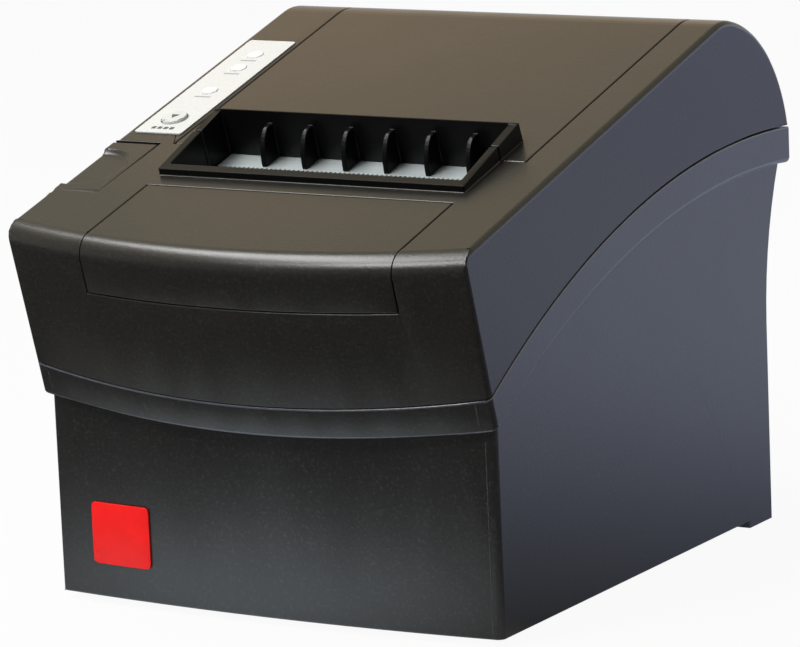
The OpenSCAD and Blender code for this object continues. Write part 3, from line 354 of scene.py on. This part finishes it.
def long_edge(a, b):
    """True on the long upper edges of the case's sides and on the lower edge of the belt."""
    upper, belt, clear = True, True, False
    for point in (a, b):
        x, s, n = to_slope(point)
        y, z = point.y / MM, point.z / MM
        under = seam_height(y) - z
        clear = clear or under < -SEAM_CLEAR
        upper = upper and abs(x) > SIDE_X and under < SEAM_NEAR and (n > -TOP_NEAR or s > REAR_S)
        at_side = abs(x) > BELT_SIDE_X and y > BELT_SIDE_Y
        at_front = abs(x) < BELT_FRONT_X and y < BELT_FRONT_Y
        belt = belt and abs(under - BELT_H) < BELT_NEAR and (at_side or at_front)
    return belt or upper and clear


def left_sharp(a, b):
    """True where the front cover's cut crosses the rounded front, or a hinge ear meets the rear."""
    middle = (a + b) / 2
    x, s, n = to_slope(middle)
    at_side = min(abs(x - side) for side in COVER_SIDES) < CORNER_NEAR
    corner = at_side and s < CORNER_REACH and n > -CORNER_REACH
    off_ear = math.hypot(middle.y / MM - EAR_Y, middle.z / MM - EAR_Z)
    return corner or off_ear < EAR_NEAR and EAR_X[0] < abs(x) < EAR_X[1]


def edge_key(ends):
    """The two ends of an edge as whole numbers, in either order."""
    return frozenset(tuple(round(c * PER_METRE) for c in end) for end in ends)


def soften(name, width, long_width=None):
    """Rounds the sharp edges of one piece, and its long outer edges more."""
    obj = nodes[name]
    mesh = obj.data
    full = long_width or width
    solid = bmesh.new()
    solid.from_mesh(mesh)
    bmesh.ops.remove_doubles(solid, verts=solid.verts, dist=WELD)
    weights = {}
    for edge in solid.edges:
        if len(edge.link_faces) == 2 and SHARP < edge.calc_face_angle() < FOLDED:
            a, b = (obj.matrix_world @ v.co for v in edge.verts)
            if not left_sharp(a, b):
                wide = long_width and long_edge(a, b)
                weights[edge_key(v.co for v in edge.verts)] = 1.0 if wide else width / full
    solid.free()
    layer = mesh.attributes.new("bevel_weight_edge", "FLOAT", "EDGE")
    for edge in mesh.edges:
        ends = edge_key(mesh.vertices[i].co for i in edge.vertices)
        layer.data[edge.index].value = weights.get(ends, 0.0)
    weld = obj.modifiers.new("weld", "WELD")
    weld.merge_threshold = WELD
    bevel = obj.modifiers.new("edges", "BEVEL")
    bevel.width = full * MM
    bevel.segments = 4 if long_width else 3
    bevel.limit_method = "WEIGHT"
    bevel.use_clamp_overlap = False
    bevel.harden_normals = True
    bevel.miter_outer = "MITER_ARC"
    # The base's rounded edges get the lighter colour of a painted highlight
    if name == "base_housing":
        mesh.materials.append(EDGE)
        bevel.material = 1


def within(x, s, ranges):
    """True where a place across and along the slope lies inside two ranges."""
    return all(low < value < high for value, (low, high) in zip((x, s), ranges))


def paint_mouth_shade(name):
    """Paints shade on the rim and the inside of the paper mouth as a near-black colour."""
    obj = nodes[name]
    mesh = obj.data
    mesh.materials.append(MOUTH_SHADE)
    slot = len(mesh.materials) - 1
    for face in mesh.polygons:
        x, s, n = to_slope(obj.matrix_world @ face.center)
        if within(x, s, MOUTH_INSIDE) or within(x, s, MOUTH_RIM) and n > RIM_FOOT:
            face.material_index = slot


ROUNDED = {
    "top_case": (0.4, 1.7), "lid": (0.4,), "base_housing": (0.4, 1.3), "cutter_cover": (0.3,),
    "cover_lever": (0.4,), "feed_button": (0.2,), "led_lenses": (0.3,), "front_badge": (0.15,),
    "rubber_feet": (0.6,), "power_rocker": (0.4,), "switch_housing": (0.4,), "power_jack": (0.4,),
    "drawer_port": (0.3,), "usb_port": (0.3,), "network_port": (0.3,),
}
for name in ("top_case", "lid"):
    paint_mouth_shade(name)
for name, widths in ROUNDED.items():
    soften(name, *widths)


# Small trim that the pieces carry
def add_piece(name, verts, faces, mat, body):
    """A new piece from its points and faces, carried by a body."""
    mesh = bpy.data.meshes.new(name)
    mesh.from_pydata(verts, [], faces)
    solid = bmesh.new()
    solid.from_mesh(mesh)
    bmesh.ops.recalc_face_normals(solid, faces=solid.faces)
    solid.to_mesh(mesh)
    solid.free()
    mesh.materials.append(mat)
    piece = bpy.data.objects.new(name, mesh)
    bpy.context.scene.collection.objects.link(piece)
    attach(piece, body)


def slab(name, outlines, place, low, high, mat, body):
    """Flat outlines raised from one level to another on a face of the object."""
    verts, faces = [], []
    for outline in outlines:
        count, first = len(outline), len(verts)
        verts += [place(u, v, low) for u, v in outline]
        verts += [place(u, v, high) for u, v in outline]
        faces.append(tuple(range(first + count, first + 2 * count)))
        faces.append(tuple(reversed(range(first, first + count))))
        for i in range(count):
            j = (i + 1) % count
            faces.append((first + i, first + j, first + count + j, first + count + i))
    add_piece(name, verts, faces, mat, body)


def turned(name, centres, profile, place, mat, body, sides=24):
    """Round trim from a list of radius and level, about each centre."""
    verts, faces = [], []
    for u, v in centres:
        first = len(verts)
        for radius, level in profile:
            for i in range(sides):
                angle = 2 * math.pi * i / sides
                verts.append(place(u + radius * math.cos(angle), v + radius * math.sin(angle), level))
        for k in range(len(profile) - 1):
            for i in range(sides):
                j = (i + 1) % sides
                a, b = first + k * sides, first + (k + 1) * sides
                faces.append((a + i, a + j, b + j, b + i))
        faces.append(tuple(reversed(range(first, first + sides))))
        faces.append(tuple(range(len(verts) - sides, len(verts))))
    add_piece(name, verts, faces, mat, body)


def rect(u, v, wide, high):
    """A rectangle about its middle."""
    return [(u - wide / 2, v - high / 2), (u + wide / 2, v - high / 2),
            (u + wide / 2, v + high / 2), (u - wide / 2, v + high / 2)]


def ring(u, v, outer, inner, sides=20):
    """A flat ring as a list of four-sided outlines."""
    angles = [2 * math.pi * i / sides for i in range(sides + 1)]
    spokes = [(math.cos(angle), math.sin(angle)) for angle in angles]
    return [[(u + r * c, v + r * s) for r, (c, s) in ((outer, a), (outer, b), (inner, b), (inner, a))]
            for a, b in zip(spokes, spokes[1:])]


def cross(u, v, length, wide):
    """Two bars across each other, as on a screw head."""
    return [rect(u, v, length, wide), rect(u, v, wide, length)]


def on_rear(u, v, w):
    """A point on the socket panel, by place across, height and distance out of it."""
    return Vector((u, PANEL_Y + w, v)) * MM


def under_base(u, v, w):
    """A point below the base, by place across, depth and distance down."""
    return Vector((u, v, UNDER_Z - w)) * MM


def across(u, v, w):
    """A point by depth, height and place across."""
    return Vector((w, u, v)) * MM


def rocker_face(lean, lift):
    """Points on one half of the rocker's face."""
    length = math.hypot(lean, ROCKER_HALF)

    def place(u, v, w):
        y = ROCKER_Y + lift[0] - v * lean / length + w * ROCKER_HALF / length
        z = ROCKER_Z + lift[1] + v * ROCKER_HALF / length + w * lean / length
        return Vector((SWITCH_X + u, y, z)) * MM

    return place


def on_base(u, v, w):
    """A point on the front of the base or its belt, found by looking at it from the front."""
    obj = nodes["base_housing"]
    local = obj.matrix_world.inverted()
    spot = obj.ray_cast(local @ (Vector((u, -200, v)) * MM), local.to_3x3() @ Vector((0, 1, 0)))[1]
    y = (obj.matrix_world @ spot).y / MM
    return Vector((u, y - w, v)) * MM


def upright(x, low, high, wide, steps):
    """A narrow upright line as short lengths."""
    rise = (high - low) / steps
    return [rect(x, low + rise * (i + 0.5), wide, rise) for i in range(steps)]


# Marks on the control strip: a pointer on the key in its ring, and short bars where the strip is lettered
slab("key_pointer", [[(LABEL_X - 1.3, KEY_S + 1), (LABEL_X, KEY_S - 1.4), (LABEL_X + 1.3, KEY_S + 1)]],
     on_slope, KEY_TOP, KEY_INK, INK, "feed_key")
slab("key_ring", ring(LABEL_X, KEY_S, 4.2, 3.9, 32), on_slope, FILM, FILM_INK, PALE_INK, "housing")
slab("strip_marks", [rect(LABEL_X + 2.0 * i, LETTERS_S, 1.4, 1.5) for i in (-1.5, -0.5, 0.5, 1.5)],
     on_slope, FILM, FILM_INK, INK, "housing")
slab("lens_marks", [rect(LABEL_X, s - 4.1, 5.2, 0.7) for s in LENS_S],
     on_slope, FILM, FILM_INK, PALE_INK, "housing")

# Moulding lines of the base: one down the right of the front, one at each end of the belt, lighter than the
# base as a painted highlight on their ridge
LINE_X, LINE_WIDE = 68.2, 0.2
BELT_LOW, BELT_HIGH = 57.5, 66
base_lines = (upright(LINE_X, 3, 55.5, LINE_WIDE, 12)
              + upright(LINE_X, BELT_LOW, BELT_HIGH, LINE_WIDE, 3)
              + upright(-LINE_X, BELT_LOW, BELT_HIGH, LINE_WIDE, 3))
slab("base_lines", base_lines, on_base, -0.1, 0.03, LINE_HIGHLIGHT, "housing")

# Sockets and screws at the rear
slab("usb_tongue", [rect(USB_X, USB_Z, 5.6, 3.2)], on_rear, -8.4, 0.2, BLACK, "housing")
slab("usb_contacts", [rect(USB_X + x, USB_Z + z, 1.0, 0.14) for x in (-1.25, 1.25) for z in (-1.64, 1.64)],
     on_rear, -8.3, -0.2, CONTACT, "housing")
for name, middle, count, top in (("network", NETWORK_X, 8, 26.4), ("drawer", DRAWER_X, 6, 25.55)):
    spring = [(73, top - 3.3), (73.2, top - 3.6), (80.8, top - 0.35), (80.8, top)]
    for i in range(count):
        x = middle + CONTACT_PITCH * (i - (count - 1) / 2)
        slab(f"{name}_contact_{i + 1}", [spring], across, x - CONTACT_HALF, x + CONTACT_HALF,
             CONTACT, "housing")
turned("jack_pin", [(JACK_X, JACK_Z)], [(1.15, -8.4), (1.15, 0.2), (0.95, 0.7), (0.4, 1.0)], on_rear,
       BRIGHT, "housing")
turned("panel_screws", PANEL_SCREWS, [(1.75, -0.05), (1.75, 0.4), (1.45, 0.85), (0.8, 1.1)], on_rear,
       BRIGHT, "housing")
# The screw slots are dark sheets of painted shade on the screw heads
slab("panel_screw_slot_shade", [bar for x, z in PANEL_SCREWS for bar in cross(x, z, 2.0, 0.4)], on_rear,
     0.95, 1.14, SLOT_SHADE, "housing")

# Marks of the switch: a bar for on and a ring for off
slab("rocker_on_mark", [rect(0, 0, 0.7, 3.0)], rocker_face(1.2, (2.6, 3.4)), -0.05, 0.05,
     MARK, "rocker")
slab("rocker_off_mark", ring(0, 0, 1.6, 1.0), rocker_face(1.0, (3.7, -3.4)), -0.05, 0.05,
     MARK, "rocker")

# Underside: a plate with plain bars, and dark crosses of painted shade where the case screws' recesses are
slab("under_plate", [rect(0, 12, 64, 34)], under_base, -0.05, 0.1, LABEL, "housing")
slab("under_plate_bars", [rect(-8, 22 - 5 * i, 40 - 6 * i, 0.9) for i in range(4)], under_base, 0.05, 0.13,
     INK, "housing")
slab("case_screw_cross_shade", [bar for x, y in CASE_SCREWS for bar in cross(x, y, 3.4, 0.7)], under_base,
     -0.25, -0.15, SLOT_SHADE, "housing")


# Light, floor and surroundings
def area_light(name, spot, aim, size, power, colour):
    """A soft rectangular lamp at a spot, turned to its aim."""
    data = bpy.data.lights.new(name, "AREA")
    data.shape = "RECTANGLE"
    data.size, data.size_y = size
    data.energy = power
    data.color = colour
    lamp = bpy.data.objects.new(name, data)
    lamp.location = spot
    lamp.rotation_euler = (Vector(aim) - Vector(spot)).to_track_quat("-Z", "Y").to_euler()
    bpy.context.scene.collection.objects.link(lamp)


FRONT_EDGE = 0.02, -0.09, 0.105
FRONT_EDGE_RIGHT = 0.05, -0.09, 0.105
CASE_REAR = 0, 0.06, 0.145
RIGHT_SIDE = 0.07, 0.04, 0.07
area_light("overhead", (-0.52, -0.36, 1.13), FRONT_EDGE, (0.95, 0.32), 12.5, (1.0, 1.0, 0.99))
area_light("front_soft", (-0.26, -0.95, 0.88), FRONT_EDGE_RIGHT, (0.42, 0.27), 6.5, (1.0, 1.0, 1.0))
area_light("warm_back", (-0.20, 0.34, 0.33), CASE_REAR, (0.30, 0.12), 0.06, (1.0, 0.55, 0.25))
area_light("cool_side", (0.80, 1.10, 0.25), RIGHT_SIDE, (0.9, 0.4), 1.1, (0.42, 0.58, 1.0))


def by_ray(tree, other, mirror, seen, share):
    """Joins three looks: for rays from the camera or through glass, for mirror rays and for the rest."""
    path = tree.nodes.new("ShaderNodeLightPath")
    clear = tree.nodes.new("ShaderNodeMath")
    clear.operation = "MAXIMUM"
    tree.links.new(path.outputs["Is Camera Ray"], clear.inputs[0])
    tree.links.new(path.outputs["Is Transmission Ray"], clear.inputs[1])
    part = tree.nodes.new("ShaderNodeMath")
    part.operation = "MULTIPLY"
    part.inputs[1].default_value = share
    tree.links.new(clear.outputs[0], part.inputs[0])
    first = tree.nodes.new("ShaderNodeMixShader")
    tree.links.new(path.outputs["Is Glossy Ray"], first.inputs["Fac"])
    tree.links.new(other.outputs[0], first.inputs[1])
    tree.links.new(mirror.outputs[0], first.inputs[2])
    last = tree.nodes.new("ShaderNodeMixShader")
    tree.links.new(part.outputs[0], last.inputs["Fac"])
    tree.links.new(first.outputs[0], last.inputs[1])
    tree.links.new(seen.outputs[0], last.inputs[2])
    return last.outputs[0]


def stepped(tree, source, stops):
    """A colour that changes along one coordinate, from a list of places and colours."""
    low, high = stops[0][0], stops[-1][0]
    span = tree.nodes.new("ShaderNodeMapRange")
    span.inputs["From Min"].default_value = low
    span.inputs["From Max"].default_value = high
    tree.links.new(source, span.inputs["Value"])
    ramp = tree.nodes.new("ShaderNodeValToRGB")
    set_stops(ramp.color_ramp, [((at - low) / (high - low), colour) for at, colour in stops])
    tree.links.new(span.outputs["Result"], ramp.inputs["Fac"])
    return ramp.outputs["Color"]


def make_world():
    """White surroundings; shiny faces also find a warm ceiling and a dim room in front."""
    world = bpy.data.worlds.new("studio")
    bpy.context.scene.world = world
    world.use_nodes = True
    tree = world.node_tree
    back = tree.nodes["Background"]
    back.inputs["Color"].default_value = (0.88, 0.87, 0.86, 1)
    back.inputs["Strength"].default_value = 0.30
    white = tree.nodes.new("ShaderNodeBackground")
    white.inputs["Color"].default_value = (1, 1, 1, 1)
    white.inputs["Strength"].default_value = 1.0
    room = tree.nodes.new("ShaderNodeBackground")
    way = tree.nodes.new("ShaderNodeTexCoord")
    apart = tree.nodes.new("ShaderNodeSeparateXYZ")
    tree.links.new(way.outputs["Generated"], apart.inputs["Vector"])
    both = tree.nodes.new("ShaderNodeMixRGB")
    both.blend_type = "MULTIPLY"
    both.inputs["Fac"].default_value = 1.0
    ceiling = stepped(tree, apart.outputs["Z"], ((0.05, (1, 1, 1)), (0.4, (0.60, 0.54, 0.40))))
    front = stepped(tree, apart.outputs["Y"], ((-0.8, (0.25, 0.25, 0.25)), (-0.1, (1, 1, 1))))
    tree.links.new(ceiling, both.inputs["Color1"])
    tree.links.new(front, both.inputs["Color2"])
    tree.links.new(both.outputs["Color"], room.inputs["Color"])
    look = by_ray(tree, back, room, white, 1.0)
    tree.links.new(look, tree.nodes["World Output"].inputs["Surface"])


def make_floor():
    """A pale floor that keeps the shadow; shiny faces see a painted reflection in it, a pool of light at
    the foot, painted shade close behind and a bluish glow to the rear.
    """
    size = 12
    corners = [(-size, -size, 0), (size, -size, 0), (size, size, 0), (-size, size, 0)]
    mesh = bpy.data.meshes.new("floor")
    mesh.from_pydata(corners, [], [(0, 1, 2, 3)])
    floor = bpy.data.objects.new("floor", mesh)
    floor.location.z = -0.0001
    bpy.context.scene.collection.objects.link(floor)
    mat = bpy.data.materials.new("floor_white")
    mat.use_nodes = True
    tree = mat.node_tree
    base = tree.nodes["Principled BSDF"]
    base.inputs["Base Color"].default_value = (0.60, 0.60, 0.60, 1)
    base.inputs["Roughness"].default_value = 0.8
    glow = tree.nodes.new("ShaderNodeEmission")
    glow.inputs["Color"].default_value = (1, 1, 1, 1)
    place = tree.nodes.new("ShaderNodeTexCoord")
    around = tree.nodes.new("ShaderNodeMapping")
    around.vector_type = "TEXTURE"
    around.inputs["Location"].default_value = (-0.02, -0.100, 0)
    around.inputs["Scale"].default_value = (0.17, 0.066, 1)
    tree.links.new(place.outputs["Object"], around.inputs["Vector"])
    painted_pool = tree.nodes.new("ShaderNodeTexGradient")
    painted_pool.gradient_type = "SPHERICAL"
    tree.links.new(around.outputs["Vector"], painted_pool.inputs["Vector"])
    apart = tree.nodes.new("ShaderNodeSeparateXYZ")
    tree.links.new(place.outputs["Object"], apart.inputs["Vector"])
    both = tree.nodes.new("ShaderNodeMixRGB")
    both.blend_type = "LIGHTEN"
    both.inputs["Fac"].default_value = 1.0
    # Mirror rays see a painted pool of light at the foot, painted shade close behind the object and a
    # bluish glow further back
    dim = (0.072, 0.070, 0.067)
    foot = ((0, dim), (0.4, (0.34, 0.34, 0.34)), (0.8, (0.84, 0.94, 1.0)))
    rear = ((-0.07, dim), (0.10, (0.32, 0.35, 0.48)), (0.24, (0.64, 0.71, 0.92)),
            (0.45, (0.72, 0.80, 1.0)), (0.64, (0.60, 0.64, 0.86)))
    tree.links.new(stepped(tree, painted_pool.outputs["Fac"], foot), both.inputs["Color1"])
    tree.links.new(stepped(tree, apart.outputs["Y"], rear), both.inputs["Color2"])
    painted_reflection = tree.nodes.new("ShaderNodeEmission")
    tree.links.new(both.outputs["Color"], painted_reflection.inputs["Color"])
    look = by_ray(tree, base, painted_reflection, glow, 0.94)
    tree.links.new(look, tree.nodes["Material Output"].inputs["Surface"])
    mesh.materials.append(mat)


make_world()
make_floor()
bpy.context.scene.view_settings.view_transform = "Standard"
